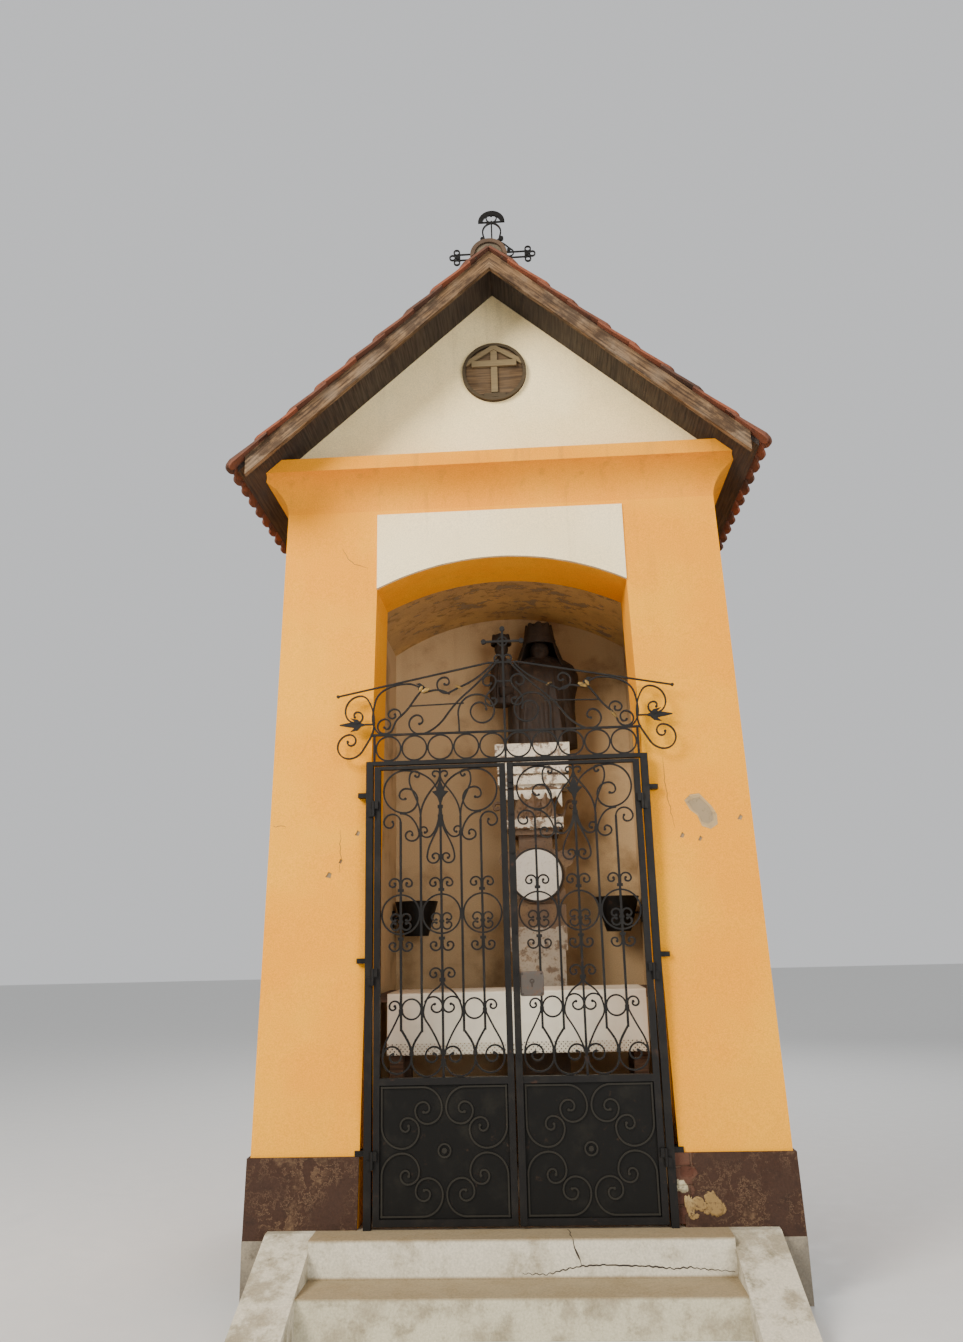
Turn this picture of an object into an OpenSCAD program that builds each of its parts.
// Wayside shrine: a rendered masonry niche with a tiled gable roof and a pair of wrought-iron gates.
// Heights in the sections below are measured from the floor of the niche unless they say otherwise.

/* [Ground and steps] */
// Height of the niche floor above the ground at the foot of the steps
floor_h = 310; // [240:5:420]
// Depth of the upper tread in front of the wall
upper_tread = 165; // [130:5:260]
// Depth of the lower tread
lower_tread = 230; // [180:5:320]
// How far the steps reach past the opening on each side
step_side = 185; // [120:5:240]
// Width of each sloped cheek beside the steps
cheek_w = 220; // [120:10:240]
// How far the cheeks run out in front of the lower step
cheek_run = 260; // [100:10:400]
// Height of a cheek at its outer end
cheek_foot = 60; // [30:5:120]
// Thickness of the floor slab
slab_t = 40; // [30:5:80]

/* [Walls] */
// Thickness of the side walls at floor level
side_t = 493; // [400:1:600]
// Thickness of the front wall at floor level
front_t = 450; // [380:10:520]
// Thickness of the back wall at floor level
back_t = 450; // [380:10:520]
// Depth of the chamber from front to back
niche_d = 900; // [840:10:1200]
// How much wider the chamber is than the opening, on each side
niche_side = 15; // [5:1:60]
// Inward lean of every outer wall face, in degrees
batter = 1.22; // [0.5:0.02:2]
// Rise of the vault over the chamber
vault_rise = 225; // [180:5:260]
// Height of the dark plinth band
plinth_h = 300; // [200:10:400]
// Thickness of the plinth band
plinth_t = 14; // [8:1:25]
// Depth of the patch where the render has fallen off
chip_t = 7; // [3:1:12]

/* [Opening] */
// Width of the opening at floor level
door_w = 1470; // [1300:2:1700]
// Height of the springing of the arch
spring_h = 3081; // [2800:1:3500]
// Rise of the arch
arch_rise = 160; // [120:5:210]
// Height of the masonry from the springing of the arch to the cove
head_h = 464; // [400:2:600]
// Height of the white panel over the arch, measured from the springing
panel_h = 439; // [380:1:460]
// Thickness of the white panel
panel_t = 8; // [4:1:15]

/* [Cornice and gable] */
// Radius of the cove under the eaves
cove_r = 175; // [140:5:200]
// Height of the flat band above the cove
fascia_h = 75; // [50:5:100]
// Depth of masonry in the cornice behind the wall face
cornice_in = 270; // [240:5:300]
// Thickness of the gable walls
gable_t = 200; // [150:5:220]
// How far the gable face stands in front of the top of the wall
gable_out = 55; // [30:5:80]
// Radius of the round plaque on the gable
medal_r = 180; // [140:5:220]
// Thickness of the round plaque
medal_t = 26; // [20:1:36]

/* [Roof] */
// Slope of the roof in degrees
pitch = 41.8; // [38:0.2:45]
// Height of the roof boards above the foot of the cove, at the face of the cornice
eave_up = 95; // [80:5:120]
// How far the boards reach past the face of the cornice at the eaves
eave_past = 3; // [0:1:30]
// Thickness of the roof boards
board_t = 24; // [18:1:30]
// Overhang of the boards past the face of the walls at floor level
verge_out = 296; // [250:2:340]
// Number of tile courses on each slope
courses = 9; // [7:1:11]
// Thickness of one tile
tile_t = 15; // [12:1:18]
// How far the tiles reach past the boards, at the eaves and the verges
tile_out = 62; // [40:2:80]
// Radius of the ridge tiles
ridge_r = 92; // [80:1:110]
// Depth of the bargeboards, measured upright
barge_h = 105; // [80:5:140]
// Thickness of the bargeboards
barge_t = 30; // [22:1:40]
// Height of the cross over the ridge
cross_h = 780; // [600:10:900]
// Half of the span of its arms
cross_arm = 270; // [200:5:320]

/* [Gate] */
// Gap between the gate frame and the edge of the opening at floor level, on each side
gate_side = 30; // [20:1:45]
// Distance of the middle of the gate in front of the wall face at floor level
gate_out = 12; // [8:1:24]
// Height of the gate to the top of its lintel
gate_h = 2127; // [1900:1:2300]
// Width of the gate posts
post_t = 35; // [30:1:40]
// Height of the lintel bar
lintel_h = 20; // [16:1:30]
// Width of the stiles and of the lower rails of the leaves
stile_t = 30; // [24:1:36]
// Height of the top rail of the leaves
top_rail_h = 16; // [12:1:24]
// Depth of the stiles and rails from front to back
leaf_d = 30; // [24:1:34]
// Gap between a leaf and its post
hinge_gap = 8; // [7:0.5:12]
// Gap between the two leaves
meet_gap = 10; // [9:0.5:14]
// Gap over the leaves
head_gap = 7; // [5:0.5:12]
// Gap under the leaves
foot_gap = 14; // [8:1:25]
// Height of the middle of the middle rail
mid_rail = 620; // [540:5:700]
// Side of the square bars
bar_t = 11; // [9:0.5:13]
// Width of the flat iron of the scrolls
scroll_t = 8; // [6:0.5:10]
// Depth of the flat iron of the scrolls from front to back
scroll_d = 10; // [8:0.5:14]
// Thickness of the sheet in the lower panels
sheet_t = 3; // [2:0.5:5]
// Radius of the hinge pins
pin_r = 5; // [4:0.5:6]
// Radius of the hinge knuckles
knuckle_r = 8.5; // [8:0.5:12]
// Height of one hinge knuckle
knuckle_h = 38; // [30:1:50]
// Height of the middle of the row of rings under the crest, above the lintel
ring_row = 67; // [60:1:75]
// Height of the rail of the crest above the lintel
crest_rail = 138; // [130:1:160]

/* [Altar and figure] */
// Height of the altar table
altar_h = 985; // [900:5:1050]
// Gap between the altar and the front wall, and between the altar and the pedestal
altar_gap = 25; // [15:5:60]
// Thickness of the altar top
altar_top = 40; // [30:2:60]
// Side of the altar legs
leg_t = 70; // [50:5:90]
// Height of the hanging front of the altar cloth
cloth_drop = 300; // [200:10:400]
// Distance of the pedestal to the right of the middle
figure_x = 130; // [0:5:160]
// Height of the pedestal
pedestal_h = 2390; // [2100:5:2450]
// Half of the width of the pedestal's cap
cap_half = 225; // [180:5:250]
// Half of the depth of the pedestal's cap
cap_half_d = 190; // [150:5:200]
// Radius of the round tablet
tablet_r = 146; // [110:2:160]
// Height of the figure with its crown
figure_h = 830; // [700:10:850]
// Radius of the wall planters at their rim
bowl_r = 130; // [100:5:140]
// Height of the wall planters
bowl_h = 200; // [150:5:240]
// Height of the rim of the wall planters
bowl_z = 1480; // [1400:10:1550]

/* [Hidden] */
$fn = 64;
lean = tan(batter);
rise = tan(pitch);
gap = 0.3;
play = 2;
far = 5000;
niche_w = door_w + 2 * niche_side;
body_w = niche_w + 2 * side_t;
body_d = front_t + niche_d + back_t;
wall_h = spring_h + head_h;
front_y = -body_d / 2;
top_half_w = body_w / 2 - wall_h * lean;
top_half_d = body_d / 2 - wall_h * lean;
cornice_top = wall_h + cove_r + fascia_h;
spring_half = door_w / 2 - spring_h * lean;
steps_w = door_w + 2 * step_side;
deck_half = top_half_w + cove_r + eave_past;
deck_ridge = wall_h + eave_up + (top_half_w + cove_r) * rise;
slope_gap = gap / cos(pitch);
board_up = board_t / cos(pitch);
verge_y = front_y - verge_out;

// Flat outline in x and z, carried along y
module along_y(length) {
  rotate([90, 0, 0])
    linear_extrude(height = length, center = true)
      children();
}

// Flat outline in y and z, carried along x
module along_x(length) {
  rotate([90, 0, 90])
    linear_extrude(height = length, center = true)
      children();
}

// Box that is centred on x and y and stands between two heights
module block(half_x, half_y, z0, z1) {
  translate([-half_x, -half_y, z0])
    cube([2 * half_x, 2 * half_y, z1 - z0]);
}

// Four corners of a face that narrows upwards with the batter
function battered_face(half, z0, z1) = [
  [-(half - z0 * lean), z0],
  [half - z0 * lean, z0],
  [half - z1 * lean, z1],
  [-(half - z1 * lean), z1]
];

// Block with all four sides battered
module battered(z0, z1, grow = 0) {
  intersection() {
    along_y(2 * far) polygon(battered_face(body_w / 2 + grow, z0, z1));
    along_x(2 * far) polygon(battered_face(body_d / 2 + grow, z0, z1));
  }
}

// Outline of the opening: leaning jambs under a segment of a circle
module door_outline(shrink = 0) {
  arch_r = (spring_half * spring_half + arch_rise * arch_rise) / (2 * arch_rise);
  polygon(battered_face(door_w / 2 - shrink, -slab_t - 1, spring_h));
  intersection() {
    translate([0, spring_h + arch_rise - arch_r]) circle(r = arch_r, $fn = 180);
    translate([-spring_half, spring_h]) square([2 * spring_half, arch_rise + 1]);
  }
}

// Everything just under the plane of the roof boards
module under_roof() {
  top = deck_ridge - slope_gap;
  along_y(2 * far)
    polygon([[-far, -far], [far, -far], [far, top - far * rise], [0, top], [-far, top - far * rise]]);
}

// The opening carried through the front wall
module door_cut(shrink = 0) {
  translate([0, front_y + front_t / 2, 0])
    along_y(front_t + 400)
      door_outline(shrink);
}

// Part of the front wall between two heights, with the opening through it
module front_wall(z0, z1, grow = 0) {
  difference() {
    intersection() {
      battered(z0, z1, grow);
      translate([-far, front_y - 100, z0]) cube([2 * far, front_t + 100, z1 - z0]);
    }
    door_cut(grow);
  }
}

module foundation() {
  half_x = body_w / 2 + plinth_t + play;
  half_y = body_d / 2 + plinth_t + play;
  color("dimgray")
    block(half_x, half_y, 0, floor_h - slab_t);
}

module floor_slab() {
  color("silver")
    translate([0, 0, floor_h - slab_t]) {
      translate([-door_w / 2 + play, front_y - plinth_t - play, 0])
        cube([door_w - 2 * play, front_t + plinth_t + 2 * play, slab_t]);
      translate([-niche_w / 2, front_y + front_t + gap, 0])
        cube([niche_w, niche_d - 2 * gap, slab_t]);
    }
}

module upper_step() {
  color("lightgray")
    translate([-steps_w / 2, front_y - upper_tread, 0])
      cube([steps_w, upper_tread - plinth_t - play, floor_h]);
}

module lower_step() {
  color("lightgray")
    translate([-steps_w / 2, front_y - upper_tread - lower_tread, 0])
      cube([steps_w, lower_tread, floor_h / 2]);
}

// Sloped cheek on the right of the steps, with a short level block beside the wall
module cheek() {
  run = upper_tread + lower_tread + cheek_run;
  level = 60;
  back = front_y - plinth_t - play;
  color("whitesmoke")
    translate([steps_w / 2 + cheek_w / 2, 0, 0])
      along_x(cheek_w)
        polygon([[back, 0], [back, floor_h], [front_y - level, floor_h],
                 [front_y - run, cheek_foot], [front_y - run, 0]]);
}

module left_cheek() {
  mirror([1, 0, 0]) cheek();
}

module right_cheek() {
  cheek();
}

// Places where the render has fallen off the front face: distance from the middle and height
left_patches = [
  [[-918, 1566], [-901, 1592], [-884, 1584], [-890, 1560]],
  [[-772, 1770], [-757, 1795], [-744, 1782], [-753, 1764]],
  [[-852, 1634], [-842, 1655], [-831, 1648], [-838, 1630]]
];
right_patches = [
  [[878, 1894], [910, 1923], [955, 1927], [986, 1891], [1013, 1860], [1034, 1820], [1034, 1770],
   [998, 1747], [955, 1763], [936, 1818], [903, 1844]],
  [[842, 1712], [856, 1738], [869, 1726], [860, 1708]],
  [[930, 1695], [943, 1719], [954, 1707], [944, 1690]],
  [[1130, 1792], [1146, 1818], [1159, 1806], [1150, 1787]]
];

// Shallow cut into the leaning front face for each patch
module patch_cuts(patches) {
  for (outline = patches)
    translate([0, front_y, 0])
      rotate([-batter, 0, 0])
        translate([0, chip_t - 20, 0])
          along_y(40)
            polygon(outline);
}

module left_pillar() {
  color("goldenrod")
    translate([0, 0, floor_h])
      difference() {
        intersection() {
          front_wall(-slab_t, spring_h);
          translate([-far, -far, -far]) cube([far, 2 * far, 2 * far]);
        }
        patch_cuts(left_patches);
      }
}

module right_pillar() {
  color("goldenrod")
    translate([0, 0, floor_h])
      difference() {
        intersection() {
          front_wall(-slab_t, spring_h);
          translate([0, -far, -far]) cube([far, 2 * far, 2 * far]);
        }
        patch_cuts(right_patches);
      }
}

module arch_head() {
  color("goldenrod")
    translate([0, 0, floor_h])
      front_wall(spring_h, wall_h);
}

// Side wall between the front and back walls, on the right
module side_wall() {
  color("goldenrod")
    translate([0, 0, floor_h])
      intersection() {
        battered(-slab_t, wall_h);
        translate([niche_w / 2, front_y + front_t, -slab_t])
          cube([body_w, niche_d, wall_h + slab_t]);
      }
}

module left_wall() {
  mirror([1, 0, 0]) side_wall();
}

module right_wall() {
  side_wall();
}

module back_wall() {
  color("goldenrod")
    translate([0, 0, floor_h])
      intersection() {
        battered(-slab_t, wall_h);
        translate([-far, body_d / 2 - back_t, -slab_t]) cube([2 * far, back_t + 100, wall_h + slab_t]);
      }
}

module vault() {
  half = niche_w / 2;
  vault_r = (half * half + vault_rise * vault_rise) / (2 * vault_rise);
  color("antiquewhite")
    translate([0, front_y + front_t + niche_d / 2, floor_h])
      along_y(niche_d)
        difference() {
          translate([-half, spring_h]) square([niche_w, wall_h - spring_h]);
          translate([0, spring_h + vault_rise - vault_r]) circle(r = vault_r, $fn = 180);
        }
}

// Thin band of hard render round the foot of the walls, broken away at the right jamb
module plinth() {
  jamb_x = 680;
  broken_top = plinth_h + 1;
  broken = [[jamb_x, broken_top], [790, broken_top], [782, 262], [806, 215], [776, 186],
            [788, 140], [752, 96], [748, 52], [jamb_x, 30]];
  color("saddlebrown")
    translate([0, 0, floor_h])
      difference() {
        battered(-slab_t, plinth_h, plinth_t);
        battered(-slab_t - 1, plinth_h + 1, gap);
        door_cut();
        translate([0, front_y, 0]) along_y(200) polygon(broken);
      }
}

// White panel laid on the wall over the arch, as wide as the arch
module arch_panel() {
  color("ivory")
    translate([0, 0, floor_h])
      intersection() {
        translate([0, front_y, 0])
          rotate([-batter, 0, 0])
            translate([-spring_half, -panel_t - gap, 0])
              cube([2 * spring_half, panel_t, wall_h]);
        along_y(2 * far)
          difference() {
            translate([-spring_half, spring_h]) square([2 * spring_half, panel_h]);
            door_outline();
          }
      }
}

// Run of cornice with a cove below and a flat band above, mitred at both ends
module cornice_run(half_length, half_across) {
  length = 2 * (half_length + cove_r);
  color("goldenrod")
    translate([0, 0, floor_h])
      intersection() {
        difference() {
          translate([-length / 2, -half_across - cove_r, wall_h])
            cube([length, cove_r + cornice_in, cove_r + fascia_h]);
          translate([0, -half_across - cove_r, wall_h])
            rotate([0, 90, 0])
              cylinder(r = cove_r, h = length + 2, center = true, $fn = 96);
        }
        translate([0, 0, wall_h - 1])
          linear_extrude(height = cove_r + fascia_h + 2)
            polygon([[-half_length - cove_r, -half_across - cove_r],
                     [half_length + cove_r, -half_across - cove_r],
                     [half_length - cornice_in, -half_across + cornice_in],
                     [-half_length + cornice_in, -half_across + cornice_in]]);
        children();
      }
}

module front_cornice() {
  cornice_run(top_half_w, top_half_d) under_roof();
}

module back_cornice() {
  rotate([0, 0, 180]) cornice_run(top_half_w, top_half_d) under_roof();
}

module left_cornice() {
  rotate([0, 0, -90]) cornice_run(top_half_d, top_half_w) rotate([0, 0, 90]) under_roof();
}

module right_cornice() {
  rotate([0, 0, 90]) cornice_run(top_half_d, top_half_w) rotate([0, 0, 90]) under_roof();
}

module front_gable() {
  top = deck_ridge - slope_gap;
  half = (top - cornice_top) / rise;
  color("cornsilk")
    translate([0, -top_half_d - gable_out + gable_t / 2, floor_h])
      along_y(gable_t)
        polygon([[-half, cornice_top], [half, cornice_top], [0, top]]);
}

module back_gable() {
  mirror([0, 1, 0]) front_gable();
}

// Roof boards of the right slope
module slope_boards() {
  foot = deck_ridge - deck_half * rise;
  color("saddlebrown")
    translate([0, 0, floor_h])
      along_y(body_d + 2 * verge_out)
        polygon([[0, deck_ridge], [deck_half, foot],
                 [deck_half, foot + board_up], [0, deck_ridge + board_up]]);
}

module left_boards() {
  mirror([1, 0, 0]) slope_boards();
}

module right_boards() {
  slope_boards();
}

// Point on the right slope: s down from the ridge, n out from the underside of the tiles
tile_base = deck_ridge + board_up + slope_gap;
function slope_point(s, n) = [
  s * cos(pitch) + n * sin(pitch),
  tile_base - s * sin(pitch) + n * cos(pitch)
];

ridge_shell = 14;
ridge_lift = 12;
ridge_count = 8;
ridge_lap = 40;
ridge_len = body_d + 2 * verge_out + 2 * tile_out;
ridge_axis = tile_base + tile_t / cos(pitch) + ridge_lift - ridge_r + ridge_shell;
ridge_top = ridge_axis + ridge_r;
slope_len = deck_half / cos(pitch) + tile_out;
course = slope_len / courses;

// Stepped section of the tile courses on the right slope
function tile_section() = concat(
  [[0, tile_base]],
  [[0, tile_base + tile_t / cos(pitch)]],
  [for (i = [1:courses]) each [slope_point(i * course, 2 * tile_t), slope_point(i * course, tile_t)]],
  [slope_point(slope_len, 0)]
);

module slope_tiles() {
  color("firebrick")
    translate([0, 0, floor_h])
      along_y(ridge_len)
        polygon(tile_section());
}

module left_tiles() {
  mirror([1, 0, 0]) slope_tiles();
}

module right_tiles() {
  slope_tiles();
}

// Row of half-round tiles bedded over the ridge
module ridge_tiles() {
  each_len = ridge_len / ridge_count;
  collar = 8;
  slope_top = tile_base + tile_t / cos(pitch) + gap;
  course_end = slope_point(course, 2 * tile_t + gap);
  axis_z = floor_h + ridge_axis;
  color("indianred")
    difference() {
      for (i = [0:ridge_count - 1])
        translate([0, -ridge_len / 2 + i * each_len, axis_z])
          rotate([-90, 0, 0]) {
            cylinder(r = ridge_r, h = each_len);
            cylinder(r = ridge_r + collar, h = ridge_lap);
          }
      translate([0, 0, axis_z])
        rotate([90, 0, 0])
          cylinder(r = ridge_r - ridge_shell, h = ridge_len + 2, center = true);
      translate([0, 0, floor_h])
        along_y(2 * far)
          polygon([[-course_end[0], 0], [course_end[0], 0], course_end, [0, slope_top],
                   [-course_end[0], course_end[1]]]);
    }
}

// Pair of bargeboards that nearly meet at the apex
module front_bargeboards() {
  top_z = deck_ridge + board_up;
  foot_x = deck_half - 45;
  color("tan")
    for (side = [0, 1])
      mirror([side, 0, 0])
        translate([0, verge_y - barge_t / 2, floor_h])
          along_y(barge_t)
            polygon([[gap / 2, top_z - gap / 2 * rise], [foot_x, top_z - foot_x * rise],
                     [foot_x, top_z - foot_x * rise - barge_h], [gap / 2, top_z - gap / 2 * rise - barge_h]]);
}

module back_bargeboards() {
  mirror([0, 1, 0]) front_bargeboards();
}

// Flat bar bent to an arc about a centre, in the x and z plane, between two angles in either order
module arc_bar(centre, r, from, to, w, d) {
  translate([centre[0], 0, centre[1]])
    rotate([90, 0, 0])
      rotate([0, 0, min(from, to)])
        rotate_extrude(angle = abs(to - from))
          translate([r - w / 2, -d / 2])
            square([w, d]);
}

// Straight flat bar between two points of the x and z plane
module straight_bar(p, q, w, d) {
  translate([p[0], 0, p[1]])
    rotate([0, -atan2(q[1] - p[1], q[0] - p[0]), 0])
      translate([0, -d / 2, -w / 2])
        cube([norm(q - p), d, w]);
}

// Closed ring of flat bar
module ring(centre, r, w, d) {
  translate([centre[0], 0, centre[1]])
    rotate([90, 0, 0])
      difference() {
        cylinder(r = r + w / 2, h = d, center = true);
        cylinder(r = r - w / 2, h = d + 2, center = true);
      }
}

// Round end of a bar, or a round stud when it is deeper
module bulb(centre, r, d) {
  translate([centre[0], 0, centre[1]])
    rotate([90, 0, 0])
      cylinder(r = r, h = d, center = true);
}

// Flat plate with an outline in the x and z plane
module plate(outline, d) {
  along_y(d)
    polygon(outline);
}

function wrapped(a) = a - 360 * floor((a + 180) / 360);
function heading(p, q) = atan2(q[1] - p[1], q[0] - p[0]);

// Flat bar forged as one run: it leaves p with a heading, passes each point in turn on arcs that follow
// one another smoothly, and ends in a curl given as radius and sweep. All sizes are multiplied by k.
// Each arc stops a little short of its ends, and a round weld a little wider than the bar joins them.
// Runs differ a little in depth, as hammered bars do.
weld_out = 0.6;
weld_in = 0.8;
weld_deep = 0.7;
module forged(p, dir, points, hand, curl, k = 1, w = scroll_t, d = scroll_d) {
  step = 0.4 * (round(abs(p[0]) + 2 * abs(p[1])) % 5);
  forged_from(p, dir, points, hand, curl, k, w, d + step, 0);
}

module forged_from(p, dir, points, hand, curl, k, w, d, i) {
  last = i == len(points) + len(curl);
  bulb(k * p, last && len(curl) > 0 ? 0.8 * w : w / 2 + weld_out, d + weld_deep);
  if (i < len(points)) {
    q = points[i];
    turn = wrapped(heading(p, q) - dir);
    side = turn < 0 ? -1 : 1;
    if (abs(turn) < 0.6) {
      inset = weld_in / norm(k * (q - p)) * k * (q - p);
      straight_bar(k * p + inset, k * q - inset, w, d);
      forged_from(q, heading(p, q), points, hand, curl, k, w, d, i + 1);
    } else {
      r = norm(q - p) / (2 * sin(abs(turn)));
      centre = p + side * r * [-sin(dir), cos(dir)];
      from = dir - side * 90;
      short = side * weld_in / (k * r) * 180 / PI;
      arc_bar(k * centre, k * r, from + short, from + 2 * turn - short, w, d);
      forged_from(q, dir + 2 * turn, points, hand, curl, k, w, d, i + 1);
    }
  } else if (!last) {
    part = curl[i - len(points)];
    r = part[0];
    centre = p + hand * r * [-sin(dir), cos(dir)];
    from = dir - hand * 90;
    to = from + hand * part[1];
    short = hand * weld_in / (k * r) * 180 / PI;
    arc_bar(k * centre, k * r, from + short, to - short, w, d);
    forged_from(centre + r * [cos(to), sin(to)], dir + hand * part[1], points, hand, curl, k, w, d, i + 1);
  }
}

// Draws its children and their mirror image in x
module both_sides() {
  for (side = [0, 1])
    mirror([side, 0, 0])
      children();
}

// Wrought cross with a round hood, outlined stem and three-lobed arm ends
module ridge_cross() {
  k = cross_h / 780;
  ka = cross_arm / 270;
  rod = 9;
  arm_z = 450 * k;
  head_z = cross_h - 84 * k;
  cross_y = (2.04 / ridge_count - 0.5) * ridge_len + 70;
  base_z = floor_h + ridge_top + gap;
  color("dimgray")
    translate([0, cross_y, base_z]) {
      block(34, 20, 0, 14);
      straight_bar([0, 10], [0, head_z + 10], rod, rod + 3);
      both_sides() {
        forged([0, 14], 60, [k * [26, 90], k * [30, 180], k * [16, 300], [24 * k, arm_z - 22 * k]],
               1, [], 1, rod, rod);
        forged([24, arm_z + 20], 80, [k * [34, 520], k * [55, 610], [0, head_z - 4]], 1, [], 1, rod, rod);
        forged([10, 16], 0, [], 1, [[26, 170], [15, 130]], k, 7, 8);
        forged([20, 560 * k], 0, [k * [44, 572]], 1, [], 1, 7, 8);
        bulb(k * [58, 574], 15 * k, 16);
        forged(k * [26, 560], -20, [k * [88, 520], k * [124, 486]], -1, [[26, 180], [16, 140]], 1, 7, 8);
        bulb(k * [104, 488], 11, 14);
        straight_bar([ka * 205, arm_z - 28], [ka * 205, arm_z + 28], rod, rod + 4);
        ring([ka * 222, arm_z + 36], 17, rod - 1, rod + 2);
        ring([ka * 222, arm_z - 36], 17, rod - 1, rod + 2);
        ring([ka * 249, arm_z], 17, rod - 1, rod + 1);
        bulb([ka * 216, arm_z], 13, 16);
        forged([0, head_z], 0, [], 1, [[32, 95], [20, 120]], k, 7, 8);
        forged([8, arm_z - 90 * k], 40, [], -1, [[30, 140], [18, 140]], k, 7, 8);
      }
      difference() {
        bulb([0, head_z], 84 * k, 13);
        bulb([0, head_z - 6 * k], 58 * k, 15);
        translate([-far / 2, -far / 2, head_z - far]) cube([far, far, far]);
      }
      straight_bar([-62 * k, head_z + 2], [62 * k, head_z + 2], rod, rod - 1);
      for (z = [arm_z - 20, arm_z + 20])
        straight_bar([-ka * 205, z], [ka * 205, z], rod, rod - 2);
    }
}

// Round plaque with a rim, a small pitched roof and a plain cross in relief
module medallion() {
  k = medal_r / 180;
  back_t = 0.5 * medal_t;
  face_y = -top_half_d - gable_out;
  centre_z = cornice_top + 0.512 * (deck_ridge - cornice_top);
  eave = [174 * k, 40 * k];
  color("sienna")
    translate([0, face_y - back_t / 2, floor_h + centre_z]) {
      bulb([0, 0], medal_r - 8, back_t);
      translate([0, (back_t - medal_t) / 2, 0]) {
        ring([0, 0], medal_r - 9, 18, medal_t);
        straight_bar([0, -130 * k], [0, 150 * k], 36 * k, medal_t);
        straight_bar([-60 * k, -148 * k], [60 * k, -148 * k], 24 * k, medal_t);
      }
      translate([0, -medal_t / 2, 0]) {
        straight_bar([-126 * k, 48 * k], [126 * k, 48 * k], 36 * k, medal_t);
        intersection() {
          both_sides() straight_bar([-6, 158 * k], [eave[0] + 20, eave[1] - 10], 26 * k, medal_t - 4);
          bulb([0, 0], medal_r - 4, 2 * medal_t);
        }
      }
    }
}

// Gate measures that follow from the sizes above
gate_w = door_w - 2 * gate_side;
gate_y = front_y - gate_out;
leaf_out = gate_w / 2 - post_t - hinge_gap;
leaf_in = meet_gap / 2;
leaf_top = gate_h - lintel_h - head_gap;
leaf_mid = (leaf_out + leaf_in) / 2;
clear_w = leaf_out - leaf_in - 2 * stile_t;
leaf_k = clear_w / 600;
rail_top = mid_rail + stile_t / 2;
rail_under = leaf_top - top_rail_h;
pin_x = gate_w / 2 - post_t - hinge_gap / 2;
pin_gap = knuckle_r;
pin_y = gate_y - max(post_t, leaf_d) / 2 - pin_gap;
strap_w = 20;
strap_t = 8;
hinge_z = [for (part = [0.1176, 0.4937, 0.8698]) part * gate_h];
lug_z = [for (part = [0.1411, 0.5408, 0.9168]) part * gate_h];

// Fixed posts with the lugs that tie them to the wall
module gate_posts() {
  lug_h = 24;
  lug_from = gate_w / 2 - 15;
  color("darkslategray")
    both_sides()
      translate([0, 0, floor_h]) {
        translate([gate_w / 2 - post_t, gate_y - post_t / 2, 0])
          cube([post_t, post_t, gate_h - lintel_h]);
        difference() {
          for (z = lug_z)
            translate([lug_from, gate_y + 10, z]) cube([60, 62, lug_h]);
          front_wall(-slab_t, gate_h + far, gap);
        }
      }
}

// Bar over the leaves, from post to post
module gate_lintel() {
  color("darkslategray")
    translate([0, gate_y, floor_h])
      block(gate_w / 2, post_t / 2, gate_h - lintel_h, gate_h);
}

// Fixed knuckles on the posts, with the pins standing in them
module hinge_pins() {
  color("black")
    both_sides()
      for (z = hinge_z)
        translate([pin_x, pin_y, floor_h + z]) {
          cylinder(r = knuckle_r, h = knuckle_h);
          cylinder(r = pin_r, h = 2 * knuckle_h);
          translate([0, -strap_t / 2, 0])
            cube([hinge_gap / 2 + strap_w, pin_gap + strap_t / 2, knuckle_h]);
        }
}

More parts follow.
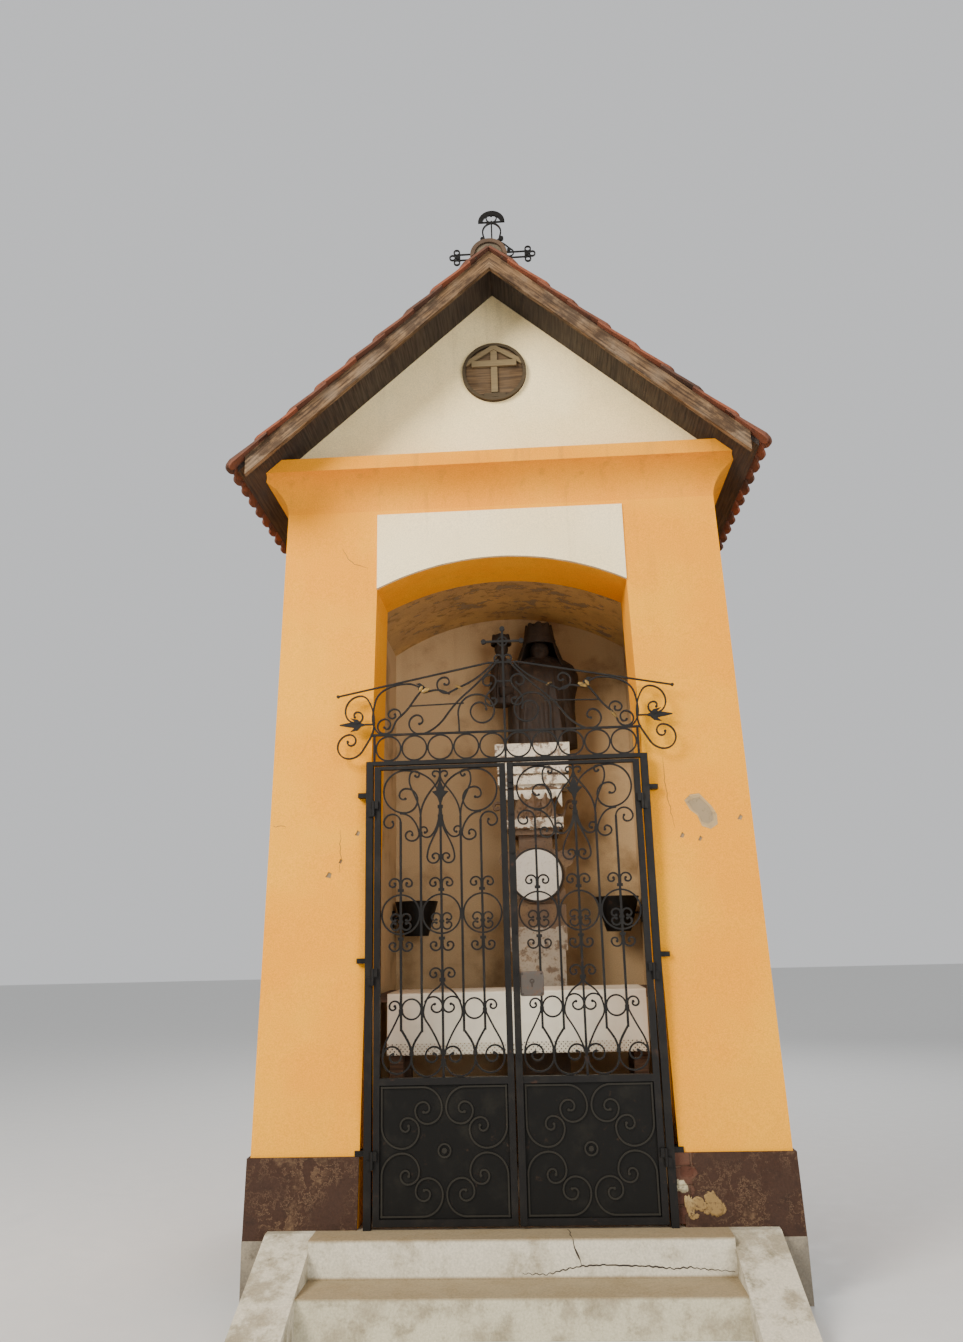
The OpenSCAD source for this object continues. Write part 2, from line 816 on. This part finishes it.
// Scrolls of the right half of the crest, measured from the middle of the lintel's top
module crest_half(k) {
  forged([76, 500], -11, [[856, 348]], 1, [], k);
  bulb(k * [856, 348], 8, scroll_d + 2);
  forged([668, 205], 92, [[700, 325], [745, 347]], -1,
         [[80, 90], [64, 30], [55, 60], [30, 90], [27, 90], [16, 120]], k);
  forged([668, 205], -92, [[690, 120], [725, 62], [788, 22]], 1,
         [[60, 90], [64, 90], [32, 90], [26, 90], [17, 110]], k);
  plate(k * [[706, 195], [735, 186], [752, 168], [792, 160], [770, 180], [846, 194], [846, 200], [770, 214],
             [792, 232], [752, 224], [735, 206]], 6);
  straight_bar(k * [664, 196], k * [716, 196], scroll_t, scroll_d - 1);
  forged([481, 402], 5, [[557, 397], [621, 370], [663, 311], [676, 234], [655, 160], [618, 142]], 1, [], k);
  forged([428, 360], -50, [[475, 297], [532, 234], [569, 177], [615, 145]], 1,
         [[38, 170], [28, 140], [14, 110]], k);
  forged([532, 234], 100, [], -1, [[32, 170], [20, 150], [11, 90]], k);
  plate(k * [[392, 352], [412, 350], [430, 356], [442, 372], [436, 392], [452, 402],
             [430, 404], [414, 392], [398, 376]], 12);
  forged([282, 343], 38, [[377, 361], [420, 372]], 1, [], k);
  forged([430, 378], 40, [[481, 402]], 1, [], k);
  forged([56, 500], -62, [[75, 474], [200, 388], [275, 352]], 1,
         [[46, 120], [38, 90], [24, 100], [14, 120]], k);
  forged([34, 500], -50, [[190, 345], [300, 225], [360, 165], [408, 140]], 1,
         [[60, 90], [46, 90], [30, 100], [18, 100]], k);
  forged([232, 142], 90, [[236, 230]], 1, [[96, 90], [90, 90], [62, 90], [60, 90], [48, 90], [34, 100]], k);
  forged([38, 400], 90, [], -1, [[34, 180], [22, 150]], k);
  forged([38, 400], -80, [[66, 352], [94, 312]], -1, [[30, 170], [16, 140]], k);
  straight_bar(k * [205, 291], k * [484, 285], scroll_t - 2, scroll_d - 2);
  forged([4, 520], 90, [], -1, [[20, 190], [11, 120]], k);
}

// Scrolled crest with its row of rings, its rail and its small cross
module gate_crest() {
  k = gate_w / 1410;
  row_z = 67 * k;
  rail_z = 138 * k;
  pitch_x = 132 * k;
  ring_r = pitch_x / 2 - scroll_t / 2 + 0.6;
  post_top = 680 * k;
  arm_z = 613 * k;
  arm = 98 * k;
  color("darkslategray")
    translate([0, gate_y, floor_h + gate_h]) {
      straight_bar([-686 * k, rail_z], [686 * k, rail_z], bar_t, bar_t);
      straight_bar([0, 0], [0, post_top], bar_t, bar_t + 2);
      straight_bar([-arm, arm_z], [arm, arm_z], bar_t, bar_t);
      straight_bar([-76 * k, 500 * k], [76 * k, 500 * k], scroll_t, scroll_d - 1);
      straight_bar([-38 * k, 400 * k], [38 * k, 400 * k], scroll_t, scroll_d - 1);
      for (tip = [[0, post_top], [-arm, arm_z], [arm, arm_z]])
        bulb(tip, 13, 16);
      ring([0, arm_z], 24, 6, 8);
      for (i = [-5:4])
        ring([(i + 0.5) * pitch_x, row_z], ring_r, scroll_t, scroll_d - (i % 2 == 0 ? 1 : 1.6));
      for (i = [-5, 5])
        translate([i * pitch_x + sign(i) * bar_t / 2, 0, 0])
          straight_bar([0, 0], [0, rail_z], bar_t, bar_t + 1);
      both_sides() crest_half(k);
    }
}

// Frame of the right leaf with its three moving knuckles
module leaf_frame() {
  bore_r = pin_r + 0.05;
  reach = pin_gap + strap_t / 2 + (max(post_t, leaf_d) - leaf_d) / 2;
  color("darkslategray")
    difference() {
      union() {
        translate([0, gate_y - leaf_d / 2, floor_h]) {
          translate([leaf_out - stile_t, 0, foot_gap]) cube([stile_t, leaf_d, leaf_top - foot_gap]);
          translate([leaf_in, 0, foot_gap]) cube([stile_t, leaf_d, leaf_top - foot_gap]);
          for (rail = [[foot_gap, stile_t], [mid_rail - stile_t / 2, stile_t], [rail_under, top_rail_h]])
            translate([leaf_in + stile_t, 0, rail[0]])
              cube([clear_w, leaf_d, rail[1]]);
        }
        for (z = hinge_z)
          translate([pin_x, pin_y, floor_h + z + knuckle_h + gap]) {
            cylinder(r = knuckle_r, h = knuckle_h);
            translate([-hinge_gap / 2 - strap_w, -strap_t / 2, 0])
              cube([hinge_gap / 2 + strap_w, reach, knuckle_h]);
          }
      }
      for (z = hinge_z)
        translate([pin_x, pin_y, floor_h + z + knuckle_h])
          cylinder(r = bore_r, h = knuckle_h + play);
    }
}

// Left half of the scrolls at the head of a leaf, measured from the middle of the top rail's underside
module head_scrolls(k) {
  forged([-178, -4.8], 180, [], 1, [[107, 90], [107, 90], [64, 90], [58, 90], [34, 90], [20, 120]], k);
  forged([-178, -4.8], 0, [[-58, -46], [-12, -118]], 1, [], k);
  forged([-100, -247], 90, [[-74, -150], [-28, -88], [0, -30]], 1, [], k);
  forged([-100, -245], 90, [[-116, -163], [-146, -95], [-152, -28]], -1, [[26, 110], [16, 100], [9, 120]], k);
  forged([-3, -258], -100, [[-24, -318], [-56, -385], [-68, -438]], 1, [[30, 180], [18, 150], [10, 110]], k);
  forged([-4, -198], -90, [[-20, -292], [-44, -332]], -1, [[34, 137], [18, 180], [10, 100]], k);
  forged([-200, -222], 0, [[-140, -250], [-108, -315]], -1, [[36, 150], [22, 130], [13, 120]], k);
  forged([-200, -266], 90, [], 1, [[42, 170], [28, 110], [18, 120]], k);
  forged([0, -30], 100, [], 1, [[22, 100], [13, 150]], k);
  for (collar = [[-100, -322], [-4, -192], [-4, -240], [-4, -436]])
    translate([k * collar[0], 0, k * collar[1]]) block(9, 8, -8, 8);
}

// Rings and curled bars at the middle of a leaf
module middle_scrolls(k) {
  ring_r = 93;
  for (u = [-200, 0, 200])
    translate([k * u, 0, 0]) {
      ring([0, 0], k * ring_r, scroll_t, scroll_d - (u == 0 ? 1 : 1.7));
      for (flip = [0, 1])
        mirror([0, 0, flip])
          both_sides() forged([4, 112], 90, [[4, 146]], -1, [[26, 170], [16, 140], [9, 100]], k);
      for (v = [-115, 115])
        block(14 * k, 8, k * v - 7, k * v + 7);
      translate([0, 0, -35 * k])
        for (flip = [0, 1])
          mirror([0, 0, flip])
            both_sides() forged([4, -6], 90, [[4, 16]], -1, [[22, 170], [13, 140]], k);
      translate([0, 0, -35 * k]) block(12 * k, 8, -6, 6);
    }
}

// Left half of the scrolls over the middle rail, measured from the middle of its top
module foot_scrolls(k) {
  forged([-4, 430], 90, [[-4, 462]], 1, [[28, 170], [17, 140], [10, 110]], k);
  forged([-3, 430], -100, [[-26, 398], [-62, 368], [-92, 300], [-80, 250], [-8, 114]], 1, [], k);
  forged([-84, 337], 60, [], -1, [[44, 150], [27, 150], [16, 120]], k);
  ring([-150 * k, 304 * k], 46 * k, scroll_t, scroll_d - 1);
  forged([-204, 296], 90, [[-204, 316]], 1, [[26, 175], [16, 140], [9, 100]], k);
  forged([-203, 292], -115, [[-262, 180], [-286, 118], [-286, 72.3]], 1,
         [[68, 180]], k);
  forged([-150, 72.3], 90, [[-150, 112]], 1, [], k);
  forged([-200, 214], -57, [[-170, 165], [-152, 108]], 1, [], k, bar_t - 1, bar_t - 1.5);
  forged([-100, 207], -128, [[-130, 165], [-148, 106]], 1, [], k, bar_t - 1, bar_t - 3);
  forged([-286, 95], 90, [], -1, [[43, 180], [28, 150], [16, 120]], k);
  forged([-150, 76.3], -90, [], 1, [[72, 180]], k);
  forged([-4, 95], 90, [], 1, [[40, 180], [28, 150], [16, 120]], k);
  for (collar = [[-4, 436], [-200, 296], [-150, 106], [-4, 110]])
    translate([k * collar[0], 0, k * collar[1]]) block(10, 8, -9, 9);
}

// Bars and scrolls of the right leaf
module leaf_ironwork() {
  k = leaf_k;
  middle_z = (rail_under - 470 * k + rail_top + 500 * k) / 2;
  color("black")
    translate([leaf_mid, gate_y, floor_h]) {
      straight_bar([0, rail_top], [0, rail_under], bar_t, bar_t);
      for (side = [-1, 1]) {
        translate([side * 200 * k, 0, 0])
          straight_bar([0, rail_top + 206 * k], [0, rail_under - 262 * k], bar_t, bar_t);
        translate([side * 100 * k, 0, 0])
          straight_bar([0, rail_top + 200 * k], [0, rail_under - 242 * k], bar_t, bar_t);
      }
      translate([0, 0, rail_under]) {
        both_sides() head_scrolls(k);
        plate(k * [[0, -58], [-9, -76], [-17, -98], [-20, -112], [-42, -116], [-30, -128],
                   [-14, -146], [-7, -168], [0, -182], [7, -168], [14, -146], [30, -128],
                   [42, -116], [20, -112], [17, -98], [9, -76]], 13);
      }
      translate([0, 0, middle_z]) middle_scrolls(k);
      translate([0, 0, rail_top]) both_sides() foot_scrolls(k);
    }
}

// One quarter of the raised pattern on the sheet, measured from the middle of the sheet
module sheet_quarter(half_x, half_z, k, d) {
  left = -half_x + 10;
  top = half_z - 10;
  forged([left, top], 0, [[left + 190 * k, top]], -1,
         [[90 * k, 90], [68 * k, 90], [56 * k, 90], [38 * k, 90], [28 * k, 90], [18 * k, 120]],
         1, scroll_t, d);
  forged([left, top], -90, [[left, top - 167 * k]], 1,
         [[95 * k, 90], [78 * k, 90], [52 * k, 90], [34 * k, 90], [24 * k, 90], [16 * k, 120]],
         1, scroll_t, d);
  bulb([left, top], 0.7 * scroll_t, d);
}

module leaf_sheet() {
  k = leaf_k;
  half_x = clear_w / 2;
  z0 = foot_gap + stile_t;
  z1 = mid_rail - stile_t / 2;
  half_z = (z1 - z0) / 2;
  relief_d = 8;
  color("darkslategray")
    translate([leaf_mid, gate_y, floor_h + (z0 + z1) / 2]) {
      block(half_x, sheet_t / 2, -half_z, half_z);
      translate([0, -(sheet_t + relief_d) / 2 + 0.5, 0])
        difference() {
          union() {
            for (flip = [0, 1])
              mirror([0, 0, flip])
                both_sides() sheet_quarter(half_x, half_z, k, relief_d);
            ring([0, 0], 28 * k, scroll_t, relief_d);
            bulb([0, 0], 12 * k, relief_d);
          }
          both_sides() translate([half_x - 0.5, -far / 2, -far / 2]) cube(far);
        }
    }
}

module left_leaf_frame() {
  mirror([1, 0, 0]) leaf_frame();
}

module left_leaf_ironwork() {
  mirror([1, 0, 0]) leaf_ironwork();
}

module left_leaf_sheet() {
  mirror([1, 0, 0]) leaf_sheet();
}

module right_leaf_frame() {
  leaf_frame();
}

module right_leaf_ironwork() {
  leaf_ironwork();
}

module right_leaf_sheet() {
  leaf_sheet();
}

// Flat strip on the meeting stile of the right leaf, with studs, a lock box and a knob
module centre_strip() {
  strip_t = 6;
  edge = 2;
  studs = 7;
  stud_d = 8;
  mid_x = leaf_in + (stile_t - edge) / 2;
  face_y = gate_y - leaf_d / 2 - strip_t;
  color("black") {
    translate([leaf_in - edge, face_y, floor_h + foot_gap])
      cube([stile_t + edge, strip_t, leaf_top - foot_gap]);
    for (i = [1:studs])
      translate([mid_x, face_y, floor_h + mid_rail + (i - 0.5) * (leaf_top - mid_rail - 160) / studs]) {
        bulb([0, 0], 10, stud_d);
        translate([0, -stud_d / 2, 0]) bulb([0, 0], 5, stud_d);
      }
    translate([mid_x, face_y - 6, floor_h + leaf_top]) block(14, 8, -130, -62);
    translate([mid_x, face_y - 20, floor_h + leaf_top - 96]) bulb([0, 0], 9, 24);
  }
}

// Table that fills the chamber from side to side
module altar_table() {
  half = niche_w / 2 - 30;
  altar_d = niche_d - 2 * altar_gap - 2 * cap_half_d;
  leg_in = 55;
  apron_h = 80;
  apron_t = 25;
  color("saddlebrown")
    translate([0, front_y + front_t + altar_gap + altar_d / 2, floor_h]) {
      block(half, altar_d / 2, altar_h - altar_top, altar_h);
      for (side = [-1, 1], end = [-1, 1])
        translate([side * (half - leg_in - leg_t / 2), end * (altar_d / 2 - 40 - leg_t / 2), 0])
          block(leg_t / 2, leg_t / 2, 0, altar_h - altar_top);
      for (end = [-1, 1])
        translate([0, end * (altar_d / 2 - 40 - leg_t / 2), 0])
          block(half - leg_in, apron_t / 2, altar_h - altar_top - apron_h, altar_h - altar_top);
    }
}

// Cloth over the table, as a thin closed shell
module altar_cloth() {
  half = niche_w / 2 - 70;
  altar_d = niche_d - 2 * altar_gap - 2 * cap_half_d;
  t = 4;
  y0 = front_y + front_t + altar_gap;
  color("white")
    translate([0, y0, floor_h]) {
      translate([-half, -t - 1, altar_h + gap]) cube([2 * half, altar_d, t]);
      translate([-half, -t - 1, altar_h - cloth_drop]) cube([2 * half, t, cloth_drop + gap + t]);
    }
}

// Pedestal measures: its middle from front to back, and scales for its width and height
pedestal_y = body_d / 2 - back_t - cap_half_d - gap;
ped_k = pedestal_h / 2390;
ped_w = cap_half / 225;
plaque_y = pedestal_y - 150;

module pedestal() {
  k = ped_k;
  w = ped_w;
  courses_list = [
    [150, 150, 0, 1180], [165, 145, 1180, 1440], [112, 130, 1440, 1760], [100, 110, 1760, 1845],
    [140, 140, 1845, 1882], [170, 165, 1882, 1945], [172, 160, 2109, 2142], [212, 182, 2142, 2192],
    [188, 165, 2192, 2208], [214, 182, 2208, 2292], [225, 190, 2292, 2390]
  ];
  color("dimgray")
    translate([figure_x, pedestal_y, floor_h]) {
      for (c = courses_list)
        block(c[0] * w, c[1] * cap_half_d / 190, c[2] * k, c[3] * k);
      difference() {
        block(152 * w, 140, 1945 * k, 2109 * k);
        both_sides() translate([210 * w, 0, 2027 * k]) bulb([0, 0], 100 * k, 400);
      }
      translate([0, plaque_y - pedestal_y + 25, 0]) {
        bulb([0, 1610 * k], tablet_r + 18, 50);
        both_sides() {
          bulb(k * [168 * w, 1700], 52 * k, 46);
          bulb(k * [132 * w, 1500], 36 * k, 42);
          straight_bar(k * [168 * w, 1700], k * [132 * w, 1500], 38, 36);
          straight_bar([60, 1722 * k], k * [168 * w, 1722], 44, 32);
        }
      }
      both_sides()
        translate([0, -40, 0]) {
          forged([166 * w, 1938 * k], 70, [k * [196 * w, 2034]], -1, [[26, 160], [15, 140]], 1, 14, 40);
          straight_bar([120 * w, 1965 * k], [176 * w, 1965 * k], 20, 34);
        }
    }
}

module tablet() {
  t = 12;
  color("ivory")
    translate([figure_x, plaque_y - t / 2 - gap, floor_h + 1610 * ped_k])
      bulb([0, 0], tablet_r, t);
}

// Crowned figure in a wide robe with a crowned child on its arm, as bodies of revolution
module figure() {
  k = figure_h / 830;
  axis_x = 70;
  robe = [[0, 0], [232, 0], [226, 60], [196, 230], [168, 400], [160, 470], [146, 520],
          [96, 552], [42, 566], [40, 590], [0, 590]];
  color("dimgray")
    translate([figure_x, pedestal_y, floor_h + pedestal_h])
      intersection() {
        union() {
          translate([axis_x * ped_w, 0, 0]) {
            rotate_extrude() polygon(k * robe);
            translate([0, -10, 616 * k]) sphere(r = 70 * k);
            translate([0, -4, 655 * k]) cylinder(r1 = 70 * k, r2 = 104 * k, h = 92 * k);
            translate([0, -4, 747 * k]) cylinder(r1 = 96 * k, r2 = 24 * k, h = 50 * k);
            translate([0, -4, 790 * k]) {
              block(7 * k, 6 * k, 0, 40 * k);
              block(18 * k, 6 * k, 14 * k, 26 * k);
            }
          }
          translate([-150 * k, -60 * k, 0]) {
            translate([0, 0, 300 * k]) cylinder(r1 = 80 * k, r2 = 62 * k, h = 220 * k);
            translate([0, 0, 520 * k]) cylinder(r1 = 62 * k, r2 = 30 * k, h = 40 * k);
            translate([0, -6, 595 * k]) sphere(r = 52 * k);
            translate([0, -4, 628 * k]) cylinder(r1 = 50 * k, r2 = 66 * k, h = 44 * k);
            translate([0, -4, 672 * k]) cylinder(r1 = 60 * k, r2 = 12 * k, h = 30 * k);
          }
          translate([-150 * k, -60 * k, 300 * k]) sphere(r = 80 * k);
        }
        block(far, cap_half_d - 5, 0, far);
      }
}

// Open iron bowl on an arm from the right side wall
module planter() {
  wall = 8;
  foot_r = 0.55 * bowl_r;
  bowl_x = niche_w / 2 - bowl_r - 15;
  bowl = [[0, 0], [foot_r, 0], [bowl_r, bowl_h], [bowl_r - wall, bowl_h], [foot_r - wall, wall], [0, wall]];
  color("dimgray")
    translate([bowl_x, body_d / 2 - back_t - 150, floor_h + bowl_z - bowl_h]) {
      rotate_extrude() polygon(bowl);
      translate([0, 0, 0.5 * bowl_h])
        difference() {
          translate([0, -10, 0]) cube([niche_w / 2 - bowl_x, 20, 12]);
          cylinder(r = 0.5 * (foot_r + bowl_r) - 2, h = 40, center = true);
        }
      translate([niche_w / 2 - bowl_x - 8, -30, 0.25 * bowl_h]) cube([8, 60, 0.5 * bowl_h]);
    }
}

module left_planter() {
  mirror([1, 0, 0]) planter();
}

module right_planter() {
  planter();
}

foundation();
floor_slab();
upper_step();
lower_step();
left_cheek();
right_cheek();
left_pillar();
right_pillar();
arch_head();
left_wall();
right_wall();
back_wall();
vault();
plinth();
arch_panel();
front_cornice();
back_cornice();
left_cornice();
right_cornice();
front_gable();
back_gable();
left_boards();
right_boards();
left_tiles();
right_tiles();
ridge_tiles();
front_bargeboards();
back_bargeboards();
ridge_cross();
medallion();
gate_posts();
gate_lintel();
hinge_pins();
gate_crest();
left_leaf_frame();
left_leaf_ironwork();
left_leaf_sheet();
right_leaf_frame();
right_leaf_ironwork();
right_leaf_sheet();
centre_strip();
altar_table();
altar_cloth();
pedestal();
tablet();
figure();
left_planter();
right_planter();
